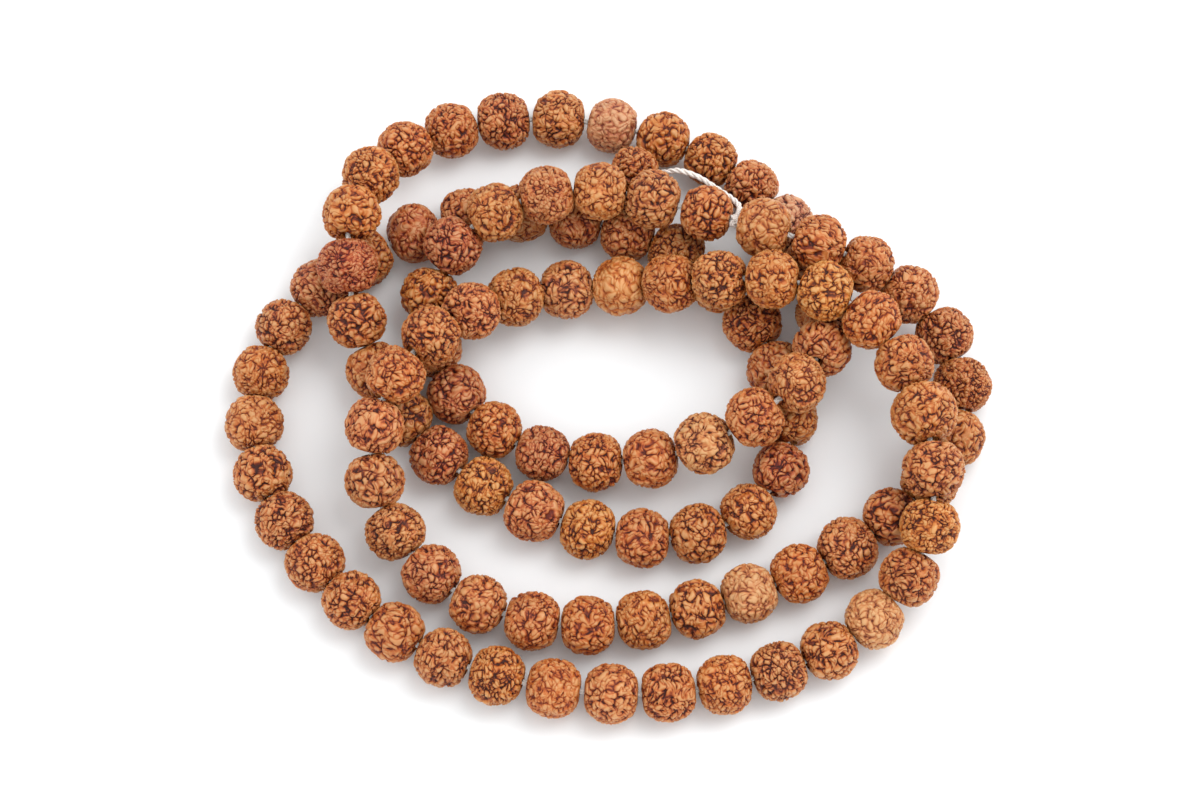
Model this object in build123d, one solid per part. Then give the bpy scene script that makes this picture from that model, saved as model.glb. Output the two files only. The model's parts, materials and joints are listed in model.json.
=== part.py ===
"""A mala of 108 rudraksha seeds and one guru seed, laid down on a table in loose rings.

Millimetres, +Z up. The origin is the middle of the base, on the table.
The string is a chain of straight runs, one through each seed, with a corner between neighbours.
"""

import os
from math import acos, atan2, cos, degrees, radians, sin, sqrt, tan

import numpy as np
from build123d import *

# Seeds
SEED_DIAMETER = 7.85  # the usual seed, across its bore
SEED_SHAPE = 0.925  # a seed's length along its bore over its diameter
SHOULDER_LATITUDE = 50  # where the flatter end of a seed meets its round middle
LARGE_SEEDS = {14: 8.2, 31: 8.1, 37: 8.2, 40: 8.2, 74: 8.2, 75: 8.7, 99: 8.2}
SMALL_SEEDS = {1: 7.5, 21: 7.3, 22: 7.6, 24: 7.3, 106: 7.6}
GURU_DIAMETER = 7.2
BORE_DIAMETER = 1.6
DIMPLE_DIAMETER = 2.4  # the hollow that every seed has at each end of its bore
DIMPLE_DEPTH = 0.4

# String and knots
CORD_DIAMETER = 0.8
CLOSING_KNOT_DIAMETER = 2.2
GURU_KNOT_DIAMETER = 2.4
KNOT_SPACE = 1.1  # spare length between the first and the last seed, where the knot sits
CORNER_CUT = 0.22  # how far an arc of the string may pass inside its corner, within the bores

# How the seeds lie
THREADED_GAP = 0.08  # between neighbours on the string
CROSSING_GAP = 0.12  # between seeds of different rings
THREADED_SLACK = 0.45  # what the string may give between neighbours, where it bends
PULL = 0.02  # share of the way to its chosen place that a seed moves in one step
SINK = 0.012  # mm that a seed sinks in one step
SMOOTHING = 0.02  # share of a zigzag taken out in one step
NEAR = 11  # mm between two middles, past which the seeds can't touch
PULLED_STEPS, FREE_STEPS = 2400, 900

# Where each seed's middle lies, from the first seed to the last along the string. The first rows
# are the inner ring with its end over the others, then the outer rings in turn.
CHOSEN_PLACES = [
    (13.5, 25, 9.5), (7, 27, 10), (-0.5, 29, 10.5), (-8, 28, 11), (-15, 25, 11), (-20.5, 21, 9),
    (-24.5, 15, 6.5), (-23, 9, 4), (-21, 2, 4), (-16, -4, 4), (-9.5, -7, 4), (-2, -8, 4.5),
    (6, -8, 5), (13.5, -6, 5.5), (20.5, -4.5, 9.5), (26, 0.5, 11.5), (28, 6.5, 8.5), (28.5, 13.5, 6.5),
    (27.5, 20.5, 4), (25, 26, 4), (20.5, 31, 4), (15, 36, 4), (8.5, 39, 4), (0.5, 41, 4),
    (-7, 42.5, 4), (-15, 42, 4), (-22.5, 39.5, 4), (-28.5, 36.5, 4), (-32.5, 32, 8), (-34, 25, 10.5),
    (-35, 18, 11), (-33.5, 12, 6), (-31.5, 5, 4.5), (-27, -2, 4), (-23.5, -8, 4), (-17, -12, 4),
    (-9.5, -15, 4), (-2.5, -17.5, 4), (5, -19, 4), (13, -18, 4), (20, -14.5, 5), (23.5, -9, 4),
    (26, -2, 4), (23.5, 5, 4), (20.5, 12, 4), (15.5, 17.5, 4), (9.5, 22.5, 4), (3, 24.5, 4),
    (-4, 26.5, 4), (-12, 28, 4), (-20, 27, 4), (-27, 24.5, 4), (-33.5, 20, 4), (-40.5, 16.5, 4),
    (-44.5, 11, 4), (-47.5, 5, 4), (-48, -2.5, 4), (-47, -10.5, 4), (-43, -17, 4), (-39.5, -22, 4),
    (-34.5, -27.5, 4), (-29, -32.5, 4), (-22, -36.5, 4), (-15, -38.5, 4), (-7, -40, 4), (0.5, -41.5, 4),
    (8.5, -41, 4), (15.5, -39.5, 4), (22.5, -38, 4), (30, -35, 4), (36.5, -30.5, 4), (40.5, -25, 5),
    (43, -19, 7.5), (43, -12.5, 11.5), (42, -4.5, 10.5), (39, 4, 7.5), (34, 8.5, 10.5), (27.5, 11.5, 13),
    (22, 14, 11), (15.5, 14.5, 12.5), (9, 15.5, 9), (2.5, 17, 6), (-5, 16.5, 4), (-12, 15, 5),
    (-18.5, 12, 9.5), (-23.5, 7, 12), (-28, 2, 11), (-31.5, -4, 9.5), (-31.5, -11, 5.5), (-29, -18, 4),
    (-23.5, -25, 5), (-17, -29, 4), (-10, -31.5, 4), (-2.5, -31.5, 4), (5, -30.5, 4), (12.5, -29, 4),
    (19.5, -26.5, 4), (26.5, -24, 4), (32.5, -21, 4.5), (38, -16, 4), (43, -10.5, 4), (48, -5.5, 4),
    (48.5, 2, 4), (46.5, 9.5, 4.5), (41.5, 15, 6), (35, 18, 8), (27.5, 19.5, 11.5), (20.5, 21.5, 11),
]
GURU_PLACE = (5, 32.7, 7)
GURU_AXIS = (1, -0.06, 0)

# The stem is the bare cord between the closing knot and the guru seed. Its first points are
# counted from the closing knot, and the rest from the guru seed's middle.
STEM_FROM_CLOSING_KNOT = [(0.7, 1.6, -1.2), (0.8, 3.4, -2.2)]
STEM_FROM_GURU = [(10.9, -2.6, 1.0), (8.6, -1.5, 2.2), (6.0, -0.5, 2.0), (4.6, -0.3, 0.7)]

# Seeds that lie free of the crossings turn on the string, so each of them is a node of its own.
TURNING_SEEDS = [*range(10, 15), *range(22, 29), *range(36, 42), *range(55, 74), *range(89, 100)]
CROSSING_SEEDS = [(1, 9), (15, 21), (29, 35), (42, 54), (74, 88), (100, 108)]

COUNT = len(CHOSEN_PLACES)

# Each end of a seed is part of a larger sphere, whose centre is past the middle. Both sizes are
# for a seed of radius 1.
SHOULDER_DROP = SEED_SHAPE - sin(radians(SHOULDER_LATITUDE))
END_RADIUS = (cos(radians(SHOULDER_LATITUDE)) ** 2 + SHOULDER_DROP**2) / (2 * SHOULDER_DROP)
END_SHIFT = END_RADIUS - SEED_SHAPE


def seed_diameter(number):
    return {**LARGE_SEEDS, **SMALL_SEEDS}.get(number, SEED_DIAMETER)


def unit(vectors):
    return vectors / np.linalg.norm(vectors, axis=-1, keepdims=True)


def middles_of(corners):
    """Each seed is threaded on the run that ends at its corner."""
    return 0.5 * (corners + np.roll(corners, 1, axis=0))


def axes_of(corners):
    return unit(corners - np.roll(corners, 1, axis=0))


def reach(radii, axes, directions):
    """How far seeds reach from their middles in these directions."""
    along = np.abs((axes * directions).sum(axis=1))
    return radii * np.minimum(1, END_RADIUS - END_SHIFT * along)


def settle():
    """Finds how the seeds lie: near their chosen places, evenly threaded, clear of each other and
    on the table. Returns the string's corner after each seed and the guru seed's middle."""
    places = np.array(CHOSEN_PLACES, float)
    radii = np.array([seed_diameter(n) / 2 for n in range(1, COUNT + 1)] + [GURU_DIAMETER / 2])
    guru = np.array(GURU_PLACE, float)
    guru_axis = unit(np.array(GURU_AXIS, float))
    first, second = np.triu_indices(COUNT + 1, 1)
    neighbours = (second < COUNT) & ((second - first == 1) | (second - first == COUNT - 1))
    gaps = np.where(neighbours, THREADED_GAP, CROSSING_GAP)
    gaps[neighbours & (second - first == COUNT - 1)] += KNOT_SPACE
    run_lengths = 2 * SEED_SHAPE * radii[:COUNT] + THREADED_GAP
    run_lengths[[0, -1]] += KNOT_SPACE / 2
    corners = middles_of(np.roll(places, -1, axis=0))
    for step in range(PULLED_STEPS + FREE_STEPS):
        if step < PULLED_STEPS:
            pull = PULL * (places - middles_of(corners))
            pull[:, 2] = 0.5 * pull[:, 2] - SINK
            corners += 0.5 * (pull + np.roll(pull, -1, axis=0))
            bend = np.roll(corners, 1, axis=0) - 2 * corners + np.roll(corners, -1, axis=0)
            corners -= SMOOTHING * (np.roll(bend, 1, axis=0) - 2 * bend + np.roll(bend, -1, axis=0))
        runs = corners - np.roll(corners, 1, axis=0)
        lengths = np.linalg.norm(runs, axis=1)
        wanted = np.clip(lengths, run_lengths, run_lengths + THREADED_SLACK)
        stretch = runs * ((wanted / lengths - 1) / 2)[:, None]
        corners += stretch - np.roll(stretch, -1, axis=0)
        middles = np.vstack([middles_of(corners), guru])
        axes = np.vstack([axes_of(corners), guru_axis])
        near = np.linalg.norm(middles[second] - middles[first], axis=1) < NEAR
        a, b = first[near], second[near]
        between = middles[b] - middles[a]
        distances = np.linalg.norm(between, axis=1)
        directions = between / distances[:, None]
        reaches = reach(radii[a], axes[a], directions) + reach(radii[b], axes[b], directions)
        overlaps = np.clip(reaches + gaps[near] - distances, 0, None)
        push = np.zeros_like(middles)
        np.add.at(push, b, directions * overlaps[:, None] / 2)
        np.add.at(push, a, -directions * overlaps[:, None] / 2)
        upright = np.tile((0.0, 0.0, 1.0), (COUNT + 1, 1))
        push[:, 2] += np.clip(reach(radii, axes, upright) - middles[:, 2] - push[:, 2], 0, None)
        corners += 0.5 * (push[:COUNT] + np.roll(push[:COUNT], -1, axis=0))
        guru += push[COUNT]
    return corners, guru


def lip_height(diameter):
    """From a seed's middle to the edge of the dimple at its end."""
    radius = diameter / 2
    return sqrt((END_RADIUS * radius) ** 2 - (DIMPLE_DIAMETER / 2) ** 2) - END_SHIFT * radius


def seed(diameter):
    """A seed with its bore along Z and its middle at the origin."""
    radius = diameter / 2
    lip_angle = degrees(acos(DIMPLE_DIAMETER / 2 / (END_RADIUS * radius)))
    shoulder = SHOULDER_LATITUDE
    middle_skin = CenterArc((0, 0), radius, -shoulder, 2 * shoulder)
    corner = middle_skin @ 1
    end_middle = (0, -END_SHIFT * radius)
    shoulder_angle = degrees(atan2(corner.Y - end_middle[1], corner.X))
    high_skin = CenterArc(end_middle, END_RADIUS * radius, shoulder_angle, lip_angle - shoulder_angle)
    low_skin = mirror(high_skin, Plane.XZ)
    lip = high_skin @ 1
    mouth = Vector(BORE_DIAMETER / 2, lip.Y - DIMPLE_DEPTH)
    bore = Polyline(lip, mouth, (mouth.X, -mouth.Y), (lip.X, -lip.Y))
    outline = make_face([middle_skin, high_skin, *low_skin.edges(), *bore.edges()])
    return Rot(X=90) * revolve(outline, Axis.Y)


def placed(shape, middle, axis):
    """The shape with its Z axis turned to this axis and its origin moved to this middle."""
    return Plane(origin=tuple(middle), z_dir=tuple(axis)).location * shape


def corner_radii(route, cut):
    """The radius of each inner corner: large, yet within its two runs and the cut allowed."""
    radii = []
    for before, corner, after in zip(route, route[1:], route[2:]):
        incoming, outgoing = corner - before, after - corner
        half_turn = radians(incoming.get_angle(outgoing)) / 2
        by_runs = 0.45 * min(incoming.length, outgoing.length) / tan(half_turn)
        by_cut = cut / (1 / cos(half_turn) - 1)
        radii.append(min(by_runs, by_cut))
    return radii


def cord(name, route, cut):
    """A round cord along straight runs joined by tangent arcs."""
    route = [Vector(*point) for point in route]
    radii = corner_radii(route, cut)
    path = FilletPolyline(*route, radius=radii)
    start = Plane(origin=path @ 0, z_dir=path % 0)
    solid = sweep(start * Circle(CORD_DIAMETER / 2), path=path)
    section = np.pi * CORD_DIAMETER**2 / 4
    print(f"{name}: length {path.length:.1f}, volume over section times length "
          f"{solid.volume / (section * path.length):.4f}, radii {min(radii):.1f} to {max(radii):.0f}")
    return solid


def main():
    corners, guru_middle = settle()
    middles, axes = middles_of(corners), axes_of(corners)
    guru_axis = unit(np.array(GURU_AXIS, float))
    closing_knot = corners[-1]
    seeds = [placed(seed(seed_diameter(n)), middles[n - 1], axes[n - 1]) for n in range(1, COUNT + 1)]

    # String: it starts and ends inside the closing knot.
    into_knot = 0.25 * CLOSING_KNOT_DIAMETER
    string_route = [closing_knot + into_knot * axes[0], *corners[:-1], closing_knot - into_knot * axes[-1]]

    # Stem: from the closing knot to the guru seed, and through its bore into its knot.
    guru_lip = lip_height(GURU_DIAMETER)
    guru_knot = guru_middle - guru_axis * (guru_lip + 0.375 * GURU_KNOT_DIAMETER)
    stem_route = [closing_knot, *(closing_knot + p for p in np.array(STEM_FROM_CLOSING_KNOT)),
                  *(guru_middle + p for p in np.array(STEM_FROM_GURU)),
                  guru_middle + guru_axis * guru_lip, guru_knot]

    nodes = {f"seed_{n:03d}": seeds[n - 1] for n in TURNING_SEEDS}
    for low, high in CROSSING_SEEDS:
        nodes[f"crossing_seeds_{low:03d}_to_{high:03d}"] = Compound(seeds[low - 1:high])
    nodes["guru_seed"] = placed(seed(GURU_DIAMETER), guru_middle, guru_axis)
    nodes["closing_knot"] = Pos(*closing_knot) * Sphere(CLOSING_KNOT_DIAMETER / 2)
    nodes["guru_knot"] = Pos(*guru_knot) * Sphere(GURU_KNOT_DIAMETER / 2)
    nodes["string"] = cord("string", string_route, CORNER_CUT)
    nodes["stem_cord"] = cord("stem_cord", stem_route, CORD_DIAMETER)

    box = Compound(seeds).bounding_box()
    to_origin = Pos(-box.center().X, -box.center().Y, -box.min.Z)
    os.makedirs("parts", exist_ok=True)
    for name, shape in nodes.items():
        export_step(to_origin * shape, f"parts/{name}.step")


main()
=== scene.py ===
"""A mala of rudraksha seeds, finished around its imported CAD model.

The file is laid out as a Blender add-on and is run as a script. Sizes are in metres in the frame
of the CAD model, unless a name ends in _mm.
"""

import json
import math

import bmesh
import bpy
import numpy as np
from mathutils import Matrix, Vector

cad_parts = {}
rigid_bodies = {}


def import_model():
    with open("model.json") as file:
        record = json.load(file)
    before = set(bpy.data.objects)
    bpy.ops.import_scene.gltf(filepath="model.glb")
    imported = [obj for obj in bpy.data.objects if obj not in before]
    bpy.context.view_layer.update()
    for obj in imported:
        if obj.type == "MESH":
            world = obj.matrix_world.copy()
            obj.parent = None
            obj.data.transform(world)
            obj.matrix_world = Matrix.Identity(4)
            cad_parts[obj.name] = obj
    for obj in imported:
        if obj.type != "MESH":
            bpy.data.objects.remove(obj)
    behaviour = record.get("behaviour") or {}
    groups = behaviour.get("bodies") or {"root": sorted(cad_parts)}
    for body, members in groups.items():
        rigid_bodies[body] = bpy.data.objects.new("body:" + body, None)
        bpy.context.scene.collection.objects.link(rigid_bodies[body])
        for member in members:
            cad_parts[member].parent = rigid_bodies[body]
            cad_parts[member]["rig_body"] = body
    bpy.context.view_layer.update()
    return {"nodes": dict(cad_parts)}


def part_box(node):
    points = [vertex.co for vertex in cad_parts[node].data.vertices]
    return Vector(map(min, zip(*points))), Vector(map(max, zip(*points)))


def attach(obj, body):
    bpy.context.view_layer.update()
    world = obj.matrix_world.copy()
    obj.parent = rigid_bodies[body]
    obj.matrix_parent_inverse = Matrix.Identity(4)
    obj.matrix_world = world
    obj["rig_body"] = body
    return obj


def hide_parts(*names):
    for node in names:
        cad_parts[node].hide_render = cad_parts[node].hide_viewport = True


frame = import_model()

bl_info = {
    "name": "Rudraksha Mala",
    "version": (1, 0, 0),
    "blender": (4, 5, 0),
    "location": "View3D > Sidebar > Mala",
    "description": "Builds the seeds, cord, knots and stage of a rudraksha mala",
    "category": "Add Mesh",
}

MM = 0.001
ROOT = "string_and_crossings"
SEED_SHAPE = 0.925  # as in the CAD model: a seed's length along its bore over its diameter
END_HEIGHT = 0.94  # of the end caps, before the dimple takes their middle away
SHOULDER_LATITUDE = math.radians(50)
BORE_DIAMETER_MM, LIP_RADIUS_MM, DIMPLE_DEPTH_MM = 1.6, 0.95, 0.4
USUAL_RADIUS_MM = 3.925
CORD_DIAMETER_MM = 0.8
# How far the ridges stand above the CAD skin. Some seeds that turn have less room.
USUAL_RISE_MM, TIGHT_RISE_MM = 0.22, 0.06
HIGHEST_KNOB_MM = 0.04  # the most that a knob stands above that
TIGHT_SEEDS = (10, 11, 22, 23, 27, 28, 40, 41, 42, 55, 56, 109)  # beside the guru seed or at a sharp bend
SEEDS_IN_A_PIECE = 12  # a piece with more of them would pass 200,000 triangles

# The stem's route, as in the CAD model: from the closing knot, then from the guru seed's middle.
STEM_FROM_CLOSING_KNOT_MM = [(0.7, 1.6, -1.2), (0.8, 3.4, -2.2)]
STEM_FROM_GURU_MM = [(10.9, -2.6, 1.0), (8.6, -1.5, 2.2), (6.0, -0.5, 2.0), (4.6, -0.3, 0.7)]

# Seeds that stand out from the others, by their number along the string.
PALE_SEEDS = {14: 0.7, 20: 0.5, 36: 0.6, 71: 0.8, 78: 0.8, 97: 0.7, 82: 0.5, 73: 0.6, 38: 0.4, 88: 0.4, 66: 0.3}
DARK_SEEDS = {31: -0.9, 6: -0.7, 52: -0.7, 49: -0.8, 50: -0.6, 9: -0.6, 11: -0.6, 103: -0.4, 47: -0.5, 34: -0.5,
              35: -0.5, 42: -0.4, 91: -0.4, 53: -0.6}
RED_SEEDS = {31: 1.0, 6: 0.7, 35: 0.5, 42: 0.5, 52: 0.5, 11: 0.5, 9: 0.5, 49: 0.4, 91: 0.3, 27: 0.3,
             71: -0.6, 78: -0.6, 14: -0.6, 97: -0.5, 36: -0.5, 38: -0.4, 73: -0.4}
GREY_SEEDS = {20: 1.0, 24: 0.8, 71: 0.6, 97: 0.6, 14: 0.5, 83: 0.4, 89: 0.3, 54: 0.3}
SMOOTH_SEEDS = {82: 0.65, 24: 0.7, 97: 0.75, 108: 0.8, 57: 0.85, 65: 0.8, 71: 0.75, 52: 0.8}
FINE_SEEDS = {103: 1.5, 4: 1.4, 31: 1.5, 80: 1.3, 27: 1.2}
STRIPED_SEEDS = {107: 0.45, 17: 0.5, 88: 0.6, 62: 0.7}


def linear(hex_colour):
    """A linear RGBA colour from an sRGB hex value."""
    channels = [int(hex_colour[i:i + 2], 16) / 255 for i in (1, 3, 5)]
    return [c / 12.92 if c <= 0.04045 else ((c + 0.055) / 1.055) ** 2.4 for c in channels] + [1.0]


def add(tree, kind, inputs=None, **settings):
    """Adds a node with its settings. Each input is a socket to link or a value to set."""
    node = tree.nodes.new(kind)
    for name, value in settings.items():
        setattr(node, name, value)
    for key, value in (inputs or {}).items():
        socket = node.inputs[key]
        if isinstance(value, bpy.types.NodeSocket):
            tree.links.new(value, socket)
        else:
            socket.default_value = value
    return node


def unit(vector):
    return vector / np.linalg.norm(vector)


# ---------------------------------------------------------------- settings

class SeedSettings(bpy.types.PropertyGroup):
    ridge_depth: bpy.props.FloatProperty(
        name="Ridge depth", description="From the top of a ridge to the bottom of a crevice, in mm",
        default=0.52, min=0.0, max=1.0)
    swell_depth: bpy.props.FloatProperty(
        name="Swell depth", description="How uneven a seed is under its ridges, in mm",
        default=0.28, min=0.0, max=1.0)
    ridge_width: bpy.props.FloatProperty(
        name="Ridge width", description="Usual width of a ridge, in mm", default=1.15, min=0.3, max=4.0)
    around: bpy.props.IntProperty(
        name="Around", description="Faces round a seed", default=108, min=16, max=200)
    along: bpy.props.IntProperty(
        name="Along", description="Faces from one end of a seed to the other", default=70, min=10, max=120)
    ridge_colour: bpy.props.StringProperty(
        name="Ridge colour", description="sRGB hex of the top of a ridge", default="#C08B5C")
    flank_colour: bpy.props.StringProperty(
        name="Flank colour", description="sRGB hex half way down a ridge", default="#AC5B2A")
    # The crevice colour is partly the seed's own dark colour and partly painted shade.
    crevice_colour_and_shade: bpy.props.StringProperty(
        name="Crevice colour", description="sRGB hex of the crevices", default="#330B02")


class CordSettings(bpy.types.PropertyGroup):
    twist_pitch: bpy.props.FloatProperty(
        name="Twist pitch", description="Length of one turn of a strand, in mm", default=3.3, min=1.0)
    colour: bpy.props.StringProperty(
        name="Colour", description="sRGB hex of the cotton", default="#F1EDE8")


class StageSettings(bpy.types.PropertyGroup):
    elevation: bpy.props.FloatProperty(
        name="Elevation", description="The camera's angle above the table", subtype="ANGLE",
        default=math.radians(70))
    distance: bpy.props.FloatProperty(
        name="Distance", description="From the camera to the mala", unit="LENGTH", default=0.68)
    lens: bpy.props.FloatProperty(
        name="Lens", description="The camera's focal length, in mm", default=149.9)
    aim: bpy.props.FloatVectorProperty(
        name="Aim", description="The point in the middle of the view", subtype="TRANSLATION",
        default=(-0.00117, -0.00066, 0.006))


# ---------------------------------------------------------------- the seeds' places in the frame

def separate_parts(node):
    """The vertices of each loose part of a CAD node."""
    mesh = bmesh.new()
    mesh.from_mesh(frame["nodes"][node].data)
    bmesh.ops.remove_doubles(mesh, verts=mesh.verts, dist=1e-6)
    unseen, parts = set(mesh.verts), []
    while unseen:
        waiting, part = [unseen.pop()], []
        while waiting:
            vertex = waiting.pop()
            part.append(tuple(vertex.co))
            linked = {edge.other_vert(vertex) for edge in vertex.link_edges} & unseen
            unseen -= linked
            waiting.extend(linked)
        parts.append(np.array(part))
    mesh.free()
    return parts


def seed_place(node, points):
    """A seed's middle, radius and axis. Only the mouths of its bore are well inside its skin."""
    middle = (points.min(axis=0) + points.max(axis=0)) / 2
    distances = np.linalg.norm(points - middle, axis=1)
    mouths = points[distances < 0.87 * distances.max()]
    middle = mouths.mean(axis=0)
    axis = np.linalg.svd(mouths - middle)[2][0]
    radius = np.linalg.norm(points - middle, axis=1).max()
    return {"node": node, "middle": middle, "radius": radius, "axis": axis}


def thread_order(seeds, start):
    """The seeds along the string from the closing knot, each axis pointing on along it."""
    left, order, here = list(seeds), [], start
    while left:
        def gap(seed):
            ends = [seed["middle"] + s * SEED_SHAPE * seed["radius"] * seed["axis"] for s in (-1, 1)]
            return min(np.linalg.norm(end - here) for end in ends)
        found = left.pop(min(range(len(left)), key=lambda i: gap(left[i])))
        found["axis"] = found["axis"] * math.copysign(1, (found["middle"] - here) @ found["axis"])
        here = found["middle"] + SEED_SHAPE * found["radius"] * found["axis"]
        order.append(found)
    if order[9]["node"] != "seed_010":
        order.reverse()
        for found in order:
            found["axis"] = -found["axis"]
    return order


def middle_of(node):
    low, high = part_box(node)
    return np.array((low + high) / 2)


def find_seeds():
    """The 108 seeds of the string in order, then the guru seed."""
    seeds = [seed_place(node, part) for node in frame["nodes"] if "seed" in node and node != "guru_seed"
             for part in separate_parts(node)]
    order = thread_order(seeds, middle_of("closing_knot"))
    guru = seed_place("guru_seed", separate_parts("guru_seed")[0])
    guru["axis"] = guru["axis"] * math.copysign(1, guru["axis"][0])
    for number, seed in enumerate([*order, guru], 1):
        seed["number"] = number
    return order, guru


SEEDS, GURU = find_seeds()


# ---------------------------------------------------------------- seeds

def seed_outline(rows):
    """Distance from the axis and height of each ring of a seed of radius 1, round its closed
    outline, and how much of the relief each ring takes."""
    drop = END_HEIGHT - math.sin(SHOULDER_LATITUDE)
    end_radius = (math.cos(SHOULDER_LATITUDE) ** 2 + drop**2) / (2 * drop)
    shift = end_radius - END_HEIGHT
    lip = LIP_RADIUS_MM / USUAL_RADIUS_MM
    lip_height = math.sqrt(end_radius**2 - lip**2) - shift
    top = math.atan2(lip_height, lip)
    angle = np.linspace(-top, top, rows)
    rise = np.abs(np.sin(angle))
    ends = np.sqrt(end_radius**2 - shift**2 * (1 - rise**2)) - shift * rise
    reach = np.minimum(1, ends)
    bore = BORE_DIAMETER_MM / 2 / USUAL_RADIUS_MM
    mouth = lip_height - DIMPLE_DEPTH_MM / USUAL_RADIUS_MM
    distance = [*(reach * np.cos(angle)), bore, bore]
    height = [*(reach * np.sin(angle)), mouth, -mouth]
    from_lip = (top - np.abs(angle)) / math.radians(20)
    return distance, height, [*np.clip(from_lip, 0, 1), 0, 0]


def make_seed_blank(around, rows):
    """A smooth seed of radius 1 with its bore, which the seed nodes carve."""
    distance, height, relief = seed_outline(rows)
    turn = np.linspace(0, 2 * math.pi, around, endpoint=False)
    points = [(d * math.cos(t), d * math.sin(t), h) for d, h in zip(distance, height) for t in turn]
    rings = len(distance)
    faces = []
    for ring in range(rings):
        above = (ring + 1) % rings
        for i in range(around):
            j = (i + 1) % around
            faces.append((ring * around + i, ring * around + j, above * around + j, above * around + i))
    mesh = bpy.data.meshes.new("seed_blank")
    mesh.from_pydata(points, [], faces)
    mesh.attributes.new("place", "FLOAT_VECTOR", "POINT").data.foreach_set("vector", np.ravel(points))
    mesh.attributes.new("skin", "FLOAT", "POINT").data.foreach_set("value", np.repeat(relief, around))
    return bpy.data.objects.new("seed_blank", mesh)


def maths(tree, operation, a, b=0.0, c=0.0, **settings):
    return add(tree, "ShaderNodeMath", {0: a, 1: b, 2: c}, operation=operation, **settings).outputs[0]


def ramped(tree, value, start, end, low=0.0, high=1.0, curve="LINEAR"):
    """The value's way from start to end, turned into a value from low to high."""
    return add(tree, "ShaderNodeMapRange", {"Value": value, "From Min": start, "From Max": end,
                                            "To Min": low, "To Max": high},
               interpolation_type=curve).outputs["Result"]


def noise(tree, at, scale, detail=0.0, roughness=0.5):
    return add(tree, "ShaderNodeTexNoise", {"Vector": at, "Scale": scale, "Detail": detail,
                                            "Roughness": roughness}).outputs


def seed_pattern(tree, place, number, stretch):
    """Adds the broad shapes of a seed: each point's place in the wandering pattern of ridges, how
    clear it is of the seams, how deep its crevices are and its swell."""
    def vectors(operation, a, b=(0, 0, 0), **more):
        return add(tree, "ShaderNodeVectorMath", {0: a, 1: b, **more}, operation=operation).outputs[0]

    def wander(at, scale, amount):
        centred = vectors("SUBTRACT", noise(tree, at, scale)["Color"], (0.5, 0.5, 0.5))
        return add(tree, "ShaderNodeVectorMath", {0: centred, "Scale": amount}, operation="SCALE").outputs[0]

    offset = add(tree, "ShaderNodeCombineXYZ", {0: number, 1: number, 2: number}).outputs[0]
    offset = vectors("MULTIPLY", offset, (3.1, 1.7, 2.3))
    own = vectors("ADD", place, offset)
    squeeze = add(tree, "ShaderNodeCombineXYZ", {0: 1.0, 1: 1.0, 2: stretch}).outputs[0]
    stretched = vectors("ADD", vectors("MULTIPLY", place, squeeze), offset)
    bent = vectors("ADD", vectors("ADD", stretched, wander(own, 2.0, 0.34)), wander(own, 5.0, 0.07))

    # Five seams run from end to end.
    parts = add(tree, "ShaderNodeSeparateXYZ", {0: place}).outputs
    turn = maths(tree, "ARCTAN2", parts["Y"], parts["X"])
    sway = maths(tree, "MULTIPLY_ADD", noise(tree, own, 1.7)["Fac"], 0.9, -0.45)
    fifth = maths(tree, "MULTIPLY_ADD", maths(tree, "ADD", turn, sway), 5 / (2 * math.pi), 50.0)
    from_seam = maths(tree, "ABSOLUTE", maths(tree, "SUBTRACT", maths(tree, "FRACT", fifth), 0.5))
    clear = ramped(tree, from_seam, 0.0, 0.075, curve="SMOOTHSTEP")
    seam = maths(tree, "MAXIMUM", clear, ramped(tree, noise(tree, own, 1.3)["Fac"], 0.3, 0.6))
    depth = ramped(tree, noise(tree, own, 3.4)["Fac"], 0.38, 0.56, 0.35, 1.0)
    return bent, seam, depth, noise(tree, own, 1.15, 1.0)["Fac"]


def ridges(tree, bent, seam, depth, fineness, width_mm):
    """Adds a seed's ridges to a geometry or a material tree, so that the shape and the colour
    agree. Returns their height, from 0 to 1."""
    def edges(at, scale):
        return add(tree, "ShaderNodeTexVoronoi", {"Vector": at, "Scale": scale, "Randomness": 1.0},
                   feature="DISTANCE_TO_EDGE").outputs["Distance"]

    scale = maths(tree, "MULTIPLY", fineness, USUAL_RADIUS_MM / width_mm)
    cells = edges(bent, scale)
    wall = ramped(tree, cells, 0.0, 0.2, curve="SMOOTHERSTEP")
    dome = maths(tree, "POWER", ramped(tree, cells, 0.0, 0.5), 0.5)
    broad = maths(tree, "ADD", maths(tree, "MULTIPLY", wall, 0.55), maths(tree, "MULTIPLY", dome, 0.45))
    # Winding furrows cut the cells, so that they don't read as a net.
    winding = noise(tree, bent, maths(tree, "MULTIPLY", scale, 1.15), 1.0, 0.4)["Fac"]
    winding = maths(tree, "ABSOLUTE", maths(tree, "SUBTRACT", winding, 0.5))
    furrow = ramped(tree, winding, 0.0, 0.07, 0.4, 0.0, curve="SMOOTHERSTEP")
    valley = maths(tree, "MULTIPLY", maths(tree, "MULTIPLY", maths(tree, "SUBTRACT", 1.0, broad), depth), 0.9)
    height = maths(tree, "SUBTRACT", maths(tree, "SUBTRACT", 1.0, valley), furrow)
    return maths(tree, "MULTIPLY", height, maths(tree, "MULTIPLY_ADD", seam, 0.6, 0.4), use_clamp=True)


def named(tree, name, kind="FLOAT"):
    node = add(tree, "GeometryNodeInputNamedAttribute", {"Name": name}, data_type=kind)
    return node.outputs["Attribute"]


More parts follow.
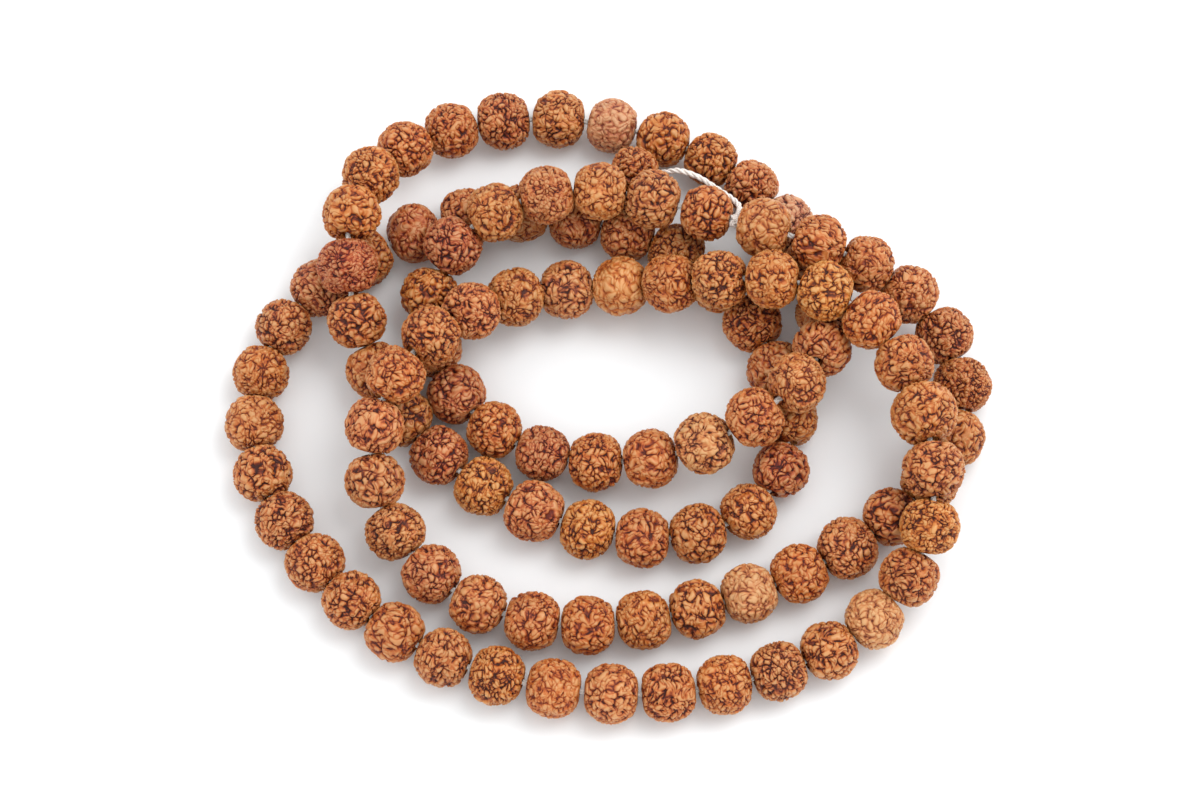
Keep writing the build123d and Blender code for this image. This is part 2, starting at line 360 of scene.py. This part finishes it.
def seed_nodes():
    """Geometry nodes that put a carved seed on each point, turned along its axis."""
    tree = bpy.data.node_groups.new("Carved seeds", "GeometryNodeTree")
    sockets = {}
    for name, kind in (("Geometry", "NodeSocketGeometry"), ("Seed blank", "NodeSocketObject"),
                       ("Ridge depth", "NodeSocketFloat"), ("Swell depth", "NodeSocketFloat"),
                       ("Shell", "NodeSocketMaterial")):
        sockets[name] = tree.interface.new_socket(name=name, in_out="INPUT", socket_type=kind)
    tree.interface.new_socket(name="Geometry", in_out="OUTPUT", socket_type="NodeSocketGeometry")
    given = add(tree, "NodeGroupInput").outputs
    blank = add(tree, "GeometryNodeObjectInfo", {"Object": given["Seed blank"]}).outputs["Geometry"]
    position = add(tree, "GeometryNodeInputPosition").outputs[0]
    kept = add(tree, "GeometryNodeStoreNamedAttribute",
               {"Geometry": given["Geometry"], "Name": "middle", "Value": position},
               data_type="FLOAT_VECTOR", domain="POINT").outputs[0]
    along = add(tree, "FunctionNodeAlignRotationToVector", {"Vector": named(tree, "axis", "FLOAT_VECTOR")},
                axis="Z").outputs[0]
    spin = add(tree, "ShaderNodeCombineXYZ", {2: named(tree, "spin")}).outputs[0]
    spin = add(tree, "FunctionNodeEulerToRotation", {0: spin}).outputs[0]
    turned = add(tree, "FunctionNodeRotateRotation", {"Rotation": along, "Rotate By": spin},
                 rotation_space="LOCAL").outputs[0]
    size = named(tree, "radius")
    scale = add(tree, "ShaderNodeCombineXYZ", {0: size, 1: size, 2: size}).outputs[0]
    placed = add(tree, "GeometryNodeInstanceOnPoints",
                 {"Points": kept, "Instance": blank, "Rotation": turned, "Scale": scale}).outputs[0]
    real = add(tree, "GeometryNodeRealizeInstances", {"Geometry": placed}).outputs[0]

    pattern = seed_pattern(tree, named(tree, "place", "FLOAT_VECTOR"), named(tree, "number"), named(tree, "stretch"))
    for name, value, kind in zip(("bent", "seam", "depth", "swell"), pattern, ("FLOAT_VECTOR", *["FLOAT"] * 3)):
        real = add(tree, "GeometryNodeStoreNamedAttribute", {"Geometry": real, "Name": name, "Value": value},
                   data_type=kind, domain="POINT").outputs[0]
    height = ridges(tree, named(tree, "bent", "FLOAT_VECTOR"), named(tree, "seam"), named(tree, "depth"),
                    named(tree, "fineness"), bpy.context.scene.mala_seeds.ridge_width)
    hollow = maths(tree, "MULTIPLY", maths(tree, "SUBTRACT", 1.0, height), named(tree, "roughness"))
    hollow = maths(tree, "MULTIPLY", hollow, given["Ridge depth"])
    sunk = maths(tree, "MULTIPLY", ramped(tree, named(tree, "swell"), 0.3, 0.7, 0.5, -0.5), given["Swell depth"])
    cut = maths(tree, "SUBTRACT", maths(tree, "ADD", hollow, sunk), named(tree, "rise"))
    least = maths(tree, "MULTIPLY_ADD", named(tree, "rise"), -1.0, -HIGHEST_KNOB_MM)
    cut = maths(tree, "MULTIPLY", maths(tree, "MAXIMUM", cut, least), named(tree, "skin"))
    share = maths(tree, "DIVIDE", cut, named(tree, "radius"))
    outward = add(tree, "ShaderNodeVectorMath", {0: position, 1: named(tree, "middle", "FLOAT_VECTOR")},
                  operation="SUBTRACT").outputs[0]
    inward = maths(tree, "MULTIPLY", share, -MM)
    move = add(tree, "ShaderNodeVectorMath", {0: outward, "Scale": inward}, operation="SCALE").outputs[0]
    carved = add(tree, "GeometryNodeSetPosition", {"Geometry": real, "Offset": move}).outputs[0]
    smooth = add(tree, "GeometryNodeSetShadeSmooth", {0: carved}).outputs[0]
    shelled = add(tree, "GeometryNodeSetMaterial", {"Geometry": smooth, "Material": given["Shell"]}).outputs[0]
    add(tree, "NodeGroupOutput", {"Geometry": shelled})
    return tree, {name: socket.identifier for name, socket in sockets.items()}


def rudraksha_shell():
    """Rudraksha, the dried stone of a fruit, rubbed with oil: hard, woody and half glossy, with worn pale ridges and
    brown flanks. The colour darkens down into the crevices: partly the seed's own dark crevices, partly painted
    shade."""
    settings = bpy.context.scene.mala_seeds
    material = bpy.data.materials.new("Oiled rudraksha shell")
    material.use_nodes = True
    tree = material.node_tree
    tree.nodes.clear()

    def stored(name, output="Fac"):
        return add(tree, "ShaderNodeAttribute", attribute_name=name).outputs[output]

    bent = stored("bent", "Vector")
    height = ridges(tree, bent, stored("seam"), stored("depth"), stored("fineness"), settings.ridge_width)
    grain = noise(tree, bent, 16.0, 2.0, 0.6)["Fac"]
    grained = maths(tree, "ADD", height, maths(tree, "MULTIPLY_ADD", grain, 0.3, -0.15))
    depth = maths(tree, "MULTIPLY", maths(tree, "SUBTRACT", 1.0, grained), stored("roughness"))
    depth = maths(tree, "SUBTRACT", 1.0, depth)
    # The colour follows the height of the ridges: pale tops, brown flanks and dark crevices. The crevices' dark is
    # partly the seed's own colour and partly painted shade.
    ramp = add(tree, "ShaderNodeValToRGB", {"Fac": depth})
    stops = ramp.color_ramp.elements
    stops[0].position, stops[0].color = 0.05, linear(settings.crevice_colour_and_shade)
    stops[1].position, stops[1].color = 0.97, linear(settings.ridge_colour)
    for position, colour in ((0.3, "#6E260B"), (0.55, settings.flank_colour), (0.78, "#B87542")):
        stop = stops.new(position)
        stop.color = linear(colour)

    # Tone of the whole seed, and patches on it.
    patches = ramped(tree, stored("swell"), 0.35, 0.65, 0.94, 1.06)
    value = maths(tree, "MULTIPLY_ADD", stored("tone"), 0.14, patches)
    saturation = maths(tree, "MULTIPLY_ADD", stored("greyness"), -0.14, 1.04)
    hue = maths(tree, "MULTIPLY_ADD", stored("redness"), -0.012, 0.5)
    toned = add(tree, "ShaderNodeHueSaturation",
                {"Hue": hue, "Saturation": saturation, "Value": value, "Color": ramp.outputs["Color"]})
    roughness = ramped(tree, depth, 0.1, 0.9, 0.65, 0.36)
    bump = add(tree, "ShaderNodeBump", {"Height": grained, "Strength": 0.55, "Distance": 0.25 * MM})
    shader = add(tree, "ShaderNodeBsdfPrincipled",
                 {"Base Color": toned.outputs["Color"], "Roughness": roughness, "Normal": bump.outputs["Normal"],
                  "IOR": 1.5, "Specular IOR Level": 0.38})
    add(tree, "ShaderNodeOutputMaterial", {"Surface": shader.outputs["BSDF"]})
    return material


def chance(number, salt):
    """A steady random number from 0 to 1 for a seed."""
    return (math.sin(number * 12.9898 + salt * 78.233) * 43758.5453) % 1.0


def seed_points(name, seeds):
    """A mesh of one vertex for each seed, with what the seed nodes and the shell read."""
    mesh = bpy.data.meshes.new(name)
    mesh.from_pydata([tuple(seed["middle"]) for seed in seeds], [], [])
    values = {"radius": [seed["radius"] for seed in seeds], "number": [], "spin": [], "fineness": [],
              "stretch": [], "roughness": [], "tone": [], "redness": [], "greyness": [],
              "rise": []}
    for seed in seeds:
        number = seed["number"]
        values["rise"].append(TIGHT_RISE_MM if number in TIGHT_SEEDS else USUAL_RISE_MM)
        values["number"].append(number)
        values["spin"].append(2 * math.pi * chance(number, 1))
        values["fineness"].append(FINE_SEEDS.get(number, 0.88 + 0.34 * chance(number, 2)))
        values["stretch"].append(STRIPED_SEEDS.get(number, 0.85 + 0.4 * chance(number, 3)))
        values["roughness"].append(SMOOTH_SEEDS.get(number, 0.88 + 0.24 * chance(number, 4)))
        tone = PALE_SEEDS.get(number, DARK_SEEDS.get(number, 0.6 * (chance(number, 5) - 0.5)))
        values["tone"].append(tone)
        values["redness"].append(RED_SEEDS.get(number, 0.5 * (chance(number, 6) - 0.5)))
        values["greyness"].append(GREY_SEEDS.get(number, 0.25 * chance(number, 7)))
    for key, numbers in values.items():
        mesh.attributes.new(key, "FLOAT", "POINT").data.foreach_set("value", np.array(numbers, float))
    axes = np.ravel([seed["axis"] for seed in seeds])
    mesh.attributes.new("axis", "FLOAT_VECTOR", "POINT").data.foreach_set("vector", axes)
    return bpy.data.objects.new(name, mesh)


def plain_copy(source, name):
    """The evaluated object as a plain mesh object, with the source removed."""
    bpy.context.scene.collection.objects.link(source)
    graph = bpy.context.evaluated_depsgraph_get()
    mesh = bpy.data.meshes.new_from_object(source.evaluated_get(graph))
    bpy.data.objects.remove(source)
    mesh.name = name
    piece = bpy.data.objects.new(name, mesh)
    bpy.context.scene.collection.objects.link(piece)
    return piece


class MALA_OT_seeds(bpy.types.Operator):
    """Carves the 108 seeds and the guru seed in their CAD places"""
    bl_idname = "mala.seeds"
    bl_label = "Carve seeds"

    def execute(self, context):
        settings = context.scene.mala_seeds
        around, along = ((settings.around, settings.along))
        blank = make_seed_blank(around, along)
        tree, inputs = seed_nodes()
        shell = rudraksha_shell()
        nodes = {}
        for seed in [*SEEDS, GURU]:
            nodes.setdefault(seed["node"], []).append(seed)
        for node, seeds in nodes.items():
            pieces = math.ceil(len(seeds) / SEEDS_IN_A_PIECE)
            for index, share in enumerate(np.array_split(np.arange(len(seeds)), pieces), 1):
                name = f"carved_{node}" if pieces == 1 else f"carved_{node}_{index}"
                points = seed_points(name, [seeds[i] for i in share])
                modifier = points.modifiers.new("Seeds", "NODES")
                modifier.node_group = tree
                modifier[inputs["Seed blank"]] = blank
                modifier[inputs["Ridge depth"]] = settings.ridge_depth
                modifier[inputs["Swell depth"]] = settings.swell_depth
                modifier[inputs["Shell"]] = shell
                piece = plain_copy(points, name)
                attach(piece, frame["nodes"][node]["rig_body"])
                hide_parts(node)
        bpy.data.objects.remove(blank)
        return {"FINISHED"}


# ---------------------------------------------------------------- cords and knots

def cotton():
    """White cotton cord, three strands twisted together: matt, with fine threads along each strand that run at a
    slant and catch the light. The grooves between the threads are painted darker, as painted shade."""
    material = bpy.data.materials.new("Twisted white cotton")
    material.use_nodes = True
    tree = material.node_tree
    tree.nodes.clear()
    place = add(tree, "ShaderNodeUVMap", uv_map="thread").outputs["UV"]
    fibres = add(tree, "ShaderNodeTexWave",
                 {"Vector": place, "Scale": 2.2, "Distortion": 2.5, "Detail": 2.0, "Detail Scale": 3.0},
                 bands_direction="DIAGONAL").outputs["Fac"]
    # The fibre pattern is both the bump and the colour: the low grooves between the threads get the darker colour,
    # which is painted shade.
    ramp = add(tree, "ShaderNodeValToRGB", {"Fac": fibres})
    stops = ramp.color_ramp.elements
    stops[0].position, stops[0].color = 0.0, linear("#D8D0C8")
    stops[1].position, stops[1].color = 0.7, linear(bpy.context.scene.mala_cord.colour)
    bump = add(tree, "ShaderNodeBump", {"Height": fibres, "Strength": 0.5, "Distance": 0.03 * MM})
    shader = add(tree, "ShaderNodeBsdfPrincipled",
                 {"Base Color": ramp.outputs["Color"], "Roughness": 0.82, "Sheen Weight": 0.25,
                  "Sheen Roughness": 0.5, "Normal": bump.outputs["Normal"]})
    add(tree, "ShaderNodeOutputMaterial", {"Surface": shader.outputs["BSDF"]})
    return material


def smooth_line(name, route):
    """The points of a NURBS spline with the route as its control points."""
    curve = bpy.data.curves.new(name, "CURVE")
    curve.dimensions = "3D"
    curve.resolution_u = 10
    spline = curve.splines.new("NURBS")
    spline.points.add(len(route) - 1)
    for point, place in zip(spline.points, route):
        point.co = (*place, 1.0)
    spline.order_u = 3
    spline.use_endpoint_u = True
    line = plain_copy(bpy.data.objects.new(name, curve), name + "_line")
    points = np.array([vertex.co for vertex in line.data.vertices])
    bpy.data.objects.remove(line)
    bpy.data.curves.remove(curve)
    return points


def evenly(points, step):
    """Points about a step apart along a line, and the distance along it of each."""
    along = np.concatenate([[0], np.cumsum(np.linalg.norm(np.diff(points, axis=0), axis=1))])
    wanted = np.linspace(0, along[-1], max(2, round(along[-1] / step) + 1))
    return np.stack([np.interp(wanted, along, points[:, i]) for i in range(3)], axis=1), wanted


def side_directions(points):
    """Two directions across a line at each of its points, which don't twist along it."""
    tangents = np.gradient(points, axis=0)
    tangents /= np.linalg.norm(tangents, axis=1, keepdims=True)
    side = unit(np.cross(tangents[0], (0.3, 0.2, 0.9)))
    sides = []
    for tangent in tangents:
        side = unit(side - tangent * (side @ tangent))
        sides.append(side)
    sides = np.array(sides)
    return sides, np.cross(tangents, sides)


def tube(points, radius, sides):
    """The vertices, faces and thread map of a closed tube along a line."""
    across, up = side_directions(points)
    angles = np.linspace(0, 2 * math.pi, sides, endpoint=False)
    rings = (points[:, None] + radius * (across[:, None] * np.cos(angles)[None, :, None]
                                          + up[:, None] * np.sin(angles)[None, :, None]))
    count = len(points)
    faces = [(i * sides + j, i * sides + (j + 1) % sides, (i + 1) * sides + (j + 1) % sides, (i + 1) * sides + j)
             for i in range(count - 1) for j in range(sides)]
    lengths = np.linalg.norm(np.diff(points, axis=0), axis=1)
    along = np.concatenate([[0], np.cumsum(lengths)]) / MM
    thread = [[(j / sides, along[i]), ((j + 1) / sides, along[i]),
               ((j + 1) / sides, along[i + 1]), (j / sides, along[i + 1])]
              for i in range(count - 1) for j in range(sides)]
    faces += [tuple(range(sides))[::-1], tuple((count - 1) * sides + j for j in range(sides))]
    thread += [[(0, 0)] * sides, [(0, along[-1])] * sides]
    return rings.reshape(-1, 3), faces, thread


def tube_mesh(name, tubes, material):
    """One mesh object of several closed tubes."""
    vertices, faces, thread = [], [], []
    for points, its_faces, its_thread in tubes:
        start = len(vertices)
        vertices += [tuple(point) for point in points]
        faces += [tuple(start + i for i in face) for face in its_faces]
        thread += its_thread
    mesh = bpy.data.meshes.new(name)
    mesh.from_pydata(vertices, [], faces)
    mesh.uv_layers.new(name="thread").data.foreach_set("uv", np.concatenate([np.ravel(t) for t in thread]))
    mesh.materials.append(material)
    mesh.shade_smooth()
    piece = bpy.data.objects.new(name, mesh)
    bpy.context.scene.collection.objects.link(piece)
    return piece


def strands(line, step, sides, thickness=1.0):
    """Three strands twisted round a line, which fill the cord's diameter."""
    points, along = evenly(line, step)
    across, up = side_directions(points)
    radius = thickness * CORD_DIAMETER_MM / 2 * MM / (1 + 2 / math.sqrt(3))
    offset = radius * 2 / math.sqrt(3)
    pitch = bpy.context.scene.mala_cord.twist_pitch * MM
    made = []
    for strand in range(3):
        angle = 2 * math.pi * (along / pitch + strand / 3)
        centre = points + offset * (across * np.cos(angle)[:, None] + up * np.sin(angle)[:, None])
        made.append(tube(centre, 1.1 * radius, sides))
    return made, points


def knot_line(middle, radius, axis):
    """A tight overhand knot that fills a ball: one pass of a trefoil about this axis."""
    t = np.linspace(0, 2 * math.pi, 90)
    core = radius - CORD_DIAMETER_MM / 2 * MM
    shape = np.stack([np.sin(t) + 2 * np.sin(2 * t), np.cos(t) - 2 * np.cos(2 * t), -1.6 * np.sin(3 * t)], axis=1)
    across = unit(np.cross(axis, (0.1, 0.2, 1.0)))
    turned = shape @ np.array([across, np.cross(axis, across), axis])
    return middle + core * turned / 3


class MALA_OT_cords(bpy.types.Operator):
    """Twists the string through the seeds and the bare stem to the guru seed"""
    bl_idname = "mala.cords"
    bl_label = "Twist cords"

    def execute(self, context):
        material = cotton()
        closing_knot, guru_knot = middle_of("closing_knot"), middle_of("guru_knot")

        def end(seed, way):
            return seed["middle"] + way * SEED_SHAPE * seed["radius"] * seed["axis"]

        corners = [(end(before, 1) + end(after, -1)) / 2 for before, after in zip(SEEDS, SEEDS[1:])]
        into_knot = 0.55 * MM
        first = closing_knot + into_knot * unit(SEEDS[0]["middle"] - closing_knot)
        last = closing_knot + into_knot * unit(SEEDS[-1]["middle"] - closing_knot)
        line = smooth_line("string", [first, *corners, last])
        tubes, path = strands(line, 0.5 * MM, 6)
        string = tube_mesh("twisted_string", tubes, material)

        lip = GURU["middle"] + 0.89 * GURU["radius"] * GURU["axis"]
        route = [closing_knot, *(closing_knot + MM * np.array(p) for p in STEM_FROM_CLOSING_KNOT_MM),
                 *(GURU["middle"] + MM * np.array(p) for p in STEM_FROM_GURU_MM), lip, guru_knot]
        stem_line = smooth_line("stem", route)
        stem_tubes, stem_path = strands(stem_line, 0.12 * MM, 14)
        stem = tube_mesh("twisted_stem_cord", stem_tubes, material)

        knots = []
        for node in ("closing_knot", "guru_knot"):
            low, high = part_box(node)
            knot, _ = strands(knot_line(middle_of(node), (high[0] - low[0]) / 2, GURU["axis"]), 0.12 * MM, 10)
            knots.append(tube_mesh("tied_" + node, knot, material))

        for piece, node in zip((string, stem, *knots), ("string", "stem_cord", "closing_knot", "guru_knot")):
            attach(piece, ROOT)
            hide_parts(node)
        return {"FINISHED"}


# ---------------------------------------------------------------- stage

def emission_panel(name, place, size, energy, target):
    """A soft square lamp that faces the mala."""
    lamp = bpy.data.lights.new(name, "AREA")
    lamp.shape = "SQUARE"
    lamp.size = size
    lamp.energy = energy
    panel = bpy.data.objects.new(name, lamp)
    panel.location = place
    panel.rotation_euler = (Vector(target) - Vector(place)).to_track_quat("-Z", "Y").to_euler()
    bpy.context.scene.collection.objects.link(panel)


class MALA_OT_stage(bpy.types.Operator):
    """Sets the camera, a white table and the light of a light tent"""
    bl_idname = "mala.stage"
    bl_label = "Set stage"

    def execute(self, context):
        scene = context.scene
        settings = scene.mala_stage
        camera = bpy.data.objects.new("camera", bpy.data.cameras.new("camera"))
        camera.data.lens = settings.lens
        camera.data.sensor_width = 36
        away = Vector((0, -math.cos(settings.elevation), math.sin(settings.elevation)))
        camera.location = Vector(settings.aim) + settings.distance * away
        camera.rotation_euler = (-away).to_track_quat("-Z", "Y").to_euler()
        camera.data.clip_start = 0.01
        scene.collection.objects.link(camera)
        scene.camera = camera

        # A matt white table, as low as the lowest knobs that stand on it.
        table = bpy.data.meshes.new("table")
        half, level = 1.5, -(USUAL_RISE_MM + HIGHEST_KNOB_MM) * MM
        corners = [(-half, -half, level), (half, -half, level), (half, half, level), (-half, half, level)]
        table.from_pydata(corners, [], [(0, 1, 2, 3)])
        paint = bpy.data.materials.new("Matt white paper")
        paint.use_nodes = True
        shader = paint.node_tree.nodes["Principled BSDF"]
        shader.inputs["Base Color"].default_value = linear("#F0F4F6")
        shader.inputs["Roughness"].default_value = 0.95
        shader.inputs["Specular IOR Level"].default_value = 0.1
        table.materials.append(paint)
        floor = bpy.data.objects.new("table", table)
        scene.collection.objects.link(floor)

        world = bpy.data.worlds.new("Light tent")
        world.use_nodes = True
        world.node_tree.nodes["Background"].inputs["Color"].default_value = linear("#FFFFFF")
        world.node_tree.nodes["Background"].inputs["Strength"].default_value = 1.18
        scene.world = world
        emission_panel("tent_top", (0.35, 0.2, 0.85), 0.5, 3.0, (0, 0, 0))
        emission_panel("tent_left", (-0.8, -0.1, 0.5), 0.45, 0.8, (0, 0, 0))
        emission_panel("tent_right", (0.8, 0.2, 0.6), 0.45, 1.6, (0, 0, 0))
        scene.view_settings.view_transform = "Standard"
        scene.view_settings.look = "None"
        return {"FINISHED"}


# ---------------------------------------------------------------- panel and registration

class MALA_PT_sidebar(bpy.types.Panel):
    """Lists the mala's settings and the steps that build it"""
    bl_idname = "MALA_PT_sidebar"
    bl_label = "Rudraksha Mala"
    bl_space_type = "VIEW_3D"
    bl_region_type = "UI"
    bl_category = "Mala"

    def draw(self, context):
        scene = context.scene
        steps = (("mala.stage", scene.mala_stage), ("mala.cords", scene.mala_cord), ("mala.seeds", scene.mala_seeds))
        for operator, settings in steps:
            box = self.layout.box()
            for name in settings.bl_rna.properties.keys():
                if name not in ("rna_type", "name"):
                    box.prop(settings, name)
            box.operator(operator)


SETTINGS = {"mala_seeds": SeedSettings, "mala_cord": CordSettings, "mala_stage": StageSettings}
CLASSES = (*SETTINGS.values(), MALA_OT_stage, MALA_OT_cords, MALA_OT_seeds, MALA_PT_sidebar)


def register():
    for cls in CLASSES:
        bpy.utils.register_class(cls)
    for name, cls in SETTINGS.items():
        setattr(bpy.types.Scene, name, bpy.props.PointerProperty(type=cls))


def unregister():
    for name in SETTINGS:
        delattr(bpy.types.Scene, name)
    for cls in reversed(CLASSES):
        bpy.utils.unregister_class(cls)


def main():
    register()
    bpy.ops.mala.stage()
    bpy.ops.mala.cords()
    bpy.ops.mala.seeds()


if __name__ == "__main__":
    main()
